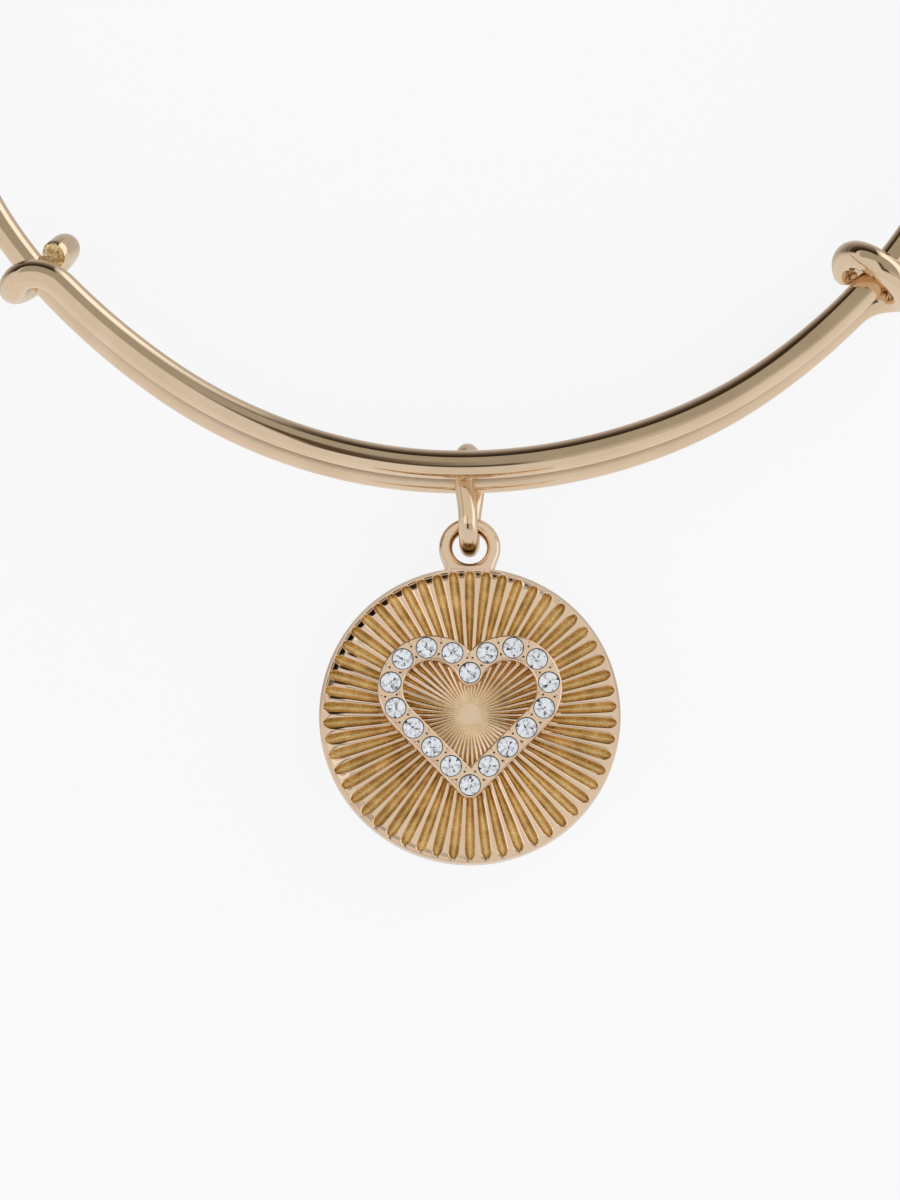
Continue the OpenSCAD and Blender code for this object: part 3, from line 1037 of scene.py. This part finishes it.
def add_floor():
    size = 1.2
    mesh = bpy.data.meshes.new("floor")
    z = -0.00002
    mesh.from_pydata([(-size, -size, z), (size, -size, z), (size, size, z), (-size, size, z)], [], [(0, 1, 2, 3)])
    mat, nt, bsdf = nodes_of("floor")
    bsdf.inputs["Base Color"].default_value = rgb(0.18, 0.18, 0.18)
    bsdf.inputs["Roughness"].default_value = 1.0
    bsdf.inputs["Specular IOR Level"].default_value = 0.0
    bsdf.inputs["Emission Color"].default_value = rgb(0.978, 0.980, 1.0)
    bsdf.inputs["Emission Strength"].default_value = 0.861
    mesh.materials.append(mat)
    floor = bpy.data.objects.new("floor", mesh)
    scene.collection.objects.link(floor)
    floor.visible_glossy = False   # polished metal sees the studio's own lower half


add_floor()


# ---------------------------------------------------------------- light

def add_world():
    """A soft studio by direction: a pale room, a large front panel, a dimmer ceiling, a dark card behind and a bright panel at the back right."""
    world = bpy.data.worlds.new("studio")
    scene.world = world
    world.use_nodes = True
    nt = world.node_tree
    nt.nodes.clear()
    out = nt.nodes.new("ShaderNodeOutputWorld")
    bg = nt.nodes.new("ShaderNodeBackground")
    nt.links.new(bg.outputs[0], out.inputs[0])
    sep = nt.nodes.new("ShaderNodeSeparateXYZ")
    nt.links.new(nt.nodes.new("ShaderNodeTexCoord").outputs["Generated"], sep.inputs[0])
    x, y, z = sep.outputs
    step = lambda v, a, b: map_range(nt, v, a, b, 0, 1, "SMOOTHSTEP")
    less = lambda v, a, b: map_range(nt, v, a, b, 1, 0, "SMOOTHSTEP")
    mul = lambda *v: v[0] if len(v) == 1 else math_node(nt, "MULTIPLY", v[0], mul(*v[1:]))
    minus = lambda a, b: math_node(nt, "SUBTRACT", a, b)
    plus = lambda a, b: math_node(nt, "ADD", a, b)
    room, front = rgb(0.80, 0.80, 0.79), rgb(0.80, 0.80, 0.80)
    # the ceiling is dim, and paler towards the front right
    pale = mul(step(x, 0.06, 0.42), step(math_node(nt, "MULTIPLY", y, -1.0), 0.05, 0.60))
    ceiling = mix(nt, pale, rgb(0.44, 0.43, 0.38), rgb(0.66, 0.64, 0.58))
    col = mix(nt, less(z, 0.38, 0.54), ceiling, room)
    # below the horizon: pale straight down, greyer out towards it
    below = mix(nt, step(y, -0.10, 0.35), rgb(0.86, 0.85, 0.84), rgb(0.60, 0.59, 0.57))
    col = mix(nt, less(z, -0.10, 0.02), col, below)
    # a dark card behind, fading downwards
    az = minus(x, math_node(nt, "MULTIPLY", y, 0.40))
    tilted = minus(z, math_node(nt, "MULTIPLY", math_node(nt, "MINIMUM", x, 0.0), 0.45))
    fade = map_range(nt, tilted, -0.80, 0.80, 0, 1)
    card = ramp(nt, fade, [(0.0, rgb(0.66, 0.65, 0.64)), (0.25, rgb(0.56, 0.55, 0.54)), (0.425, rgb(0.36, 0.34, 0.34)),
                           (0.56, rgb(0.25, 0.225, 0.22)), (0.68, rgb(0.13, 0.11, 0.095)), (0.78, rgb(0.07, 0.052, 0.036)),
                           (0.87, rgb(0.035, 0.022, 0.010)), (1.0, rgb(0.035, 0.022, 0.010))])
    col = mix(nt, mul(less(tilted, 0.67, 0.75), less(az, -0.17, -0.09), step(y, 0.22, 0.42)), col, card)
    # a bright panel at the back right
    col = mix(nt, mul(step(az, -0.10, 0.06), less(z, 0.54, 0.64), step(y, -0.32, -0.22), step(z, -0.16, 0.0)), col, rgb(1.28, 1.36, 1.42))
    # the front panel, which runs on up the left side, and a dark strip along its edge
    edge = math_node(nt, "MINIMUM", plus(y, 0.62), plus(x, 0.275))
    strip = mul(step(edge, 0.01, 0.06), less(edge, 0.18, 0.34), less(y, -0.08, 0.14), less(x, 0.09, 0.19), step(z, 0.5, 0.6))
    col = mix(nt, math_node(nt, "MULTIPLY", strip, 0.93), col, rgb(0.075, 0.052, 0.030))
    col = mix(nt, mul(less(edge, -0.02, 0.02), less(y, 0.0, 0.10), step(z, -0.02, 0.08)), col, front)
    nt.links.new(col, bg.inputs[0])
    bg.inputs[1].default_value = 1.0


def add_overhead(pieces):
    """A broad soft panel over the medallion."""
    group = bpy.data.collections.new("medallion_light")
    for p in pieces:
        group.objects.link(p)
    data = bpy.data.lights.new("overhead", "AREA")
    data.shape = "RECTANGLE"
    data.size, data.size_y = 0.62, 0.31
    data.energy = 0.38 * math.pi * data.size * data.size_y
    data.color = (1.0, 0.985, 0.95)
    lamp = bpy.data.objects.new("overhead", data)
    lamp.location = (0.0, med_y * MM + 0.07, 0.26)
    lamp.visible_camera = False
    scene.collection.objects.link(lamp)
    lamp.light_linking.receiver_collection = group


add_world()
add_overhead([disc, ear, heart, beads, gems, link])

scene.view_settings.view_transform = "Standard"
scene.view_settings.look = "None"
scene.view_settings.exposure = 0.0
scene.view_settings.gamma = 1.0
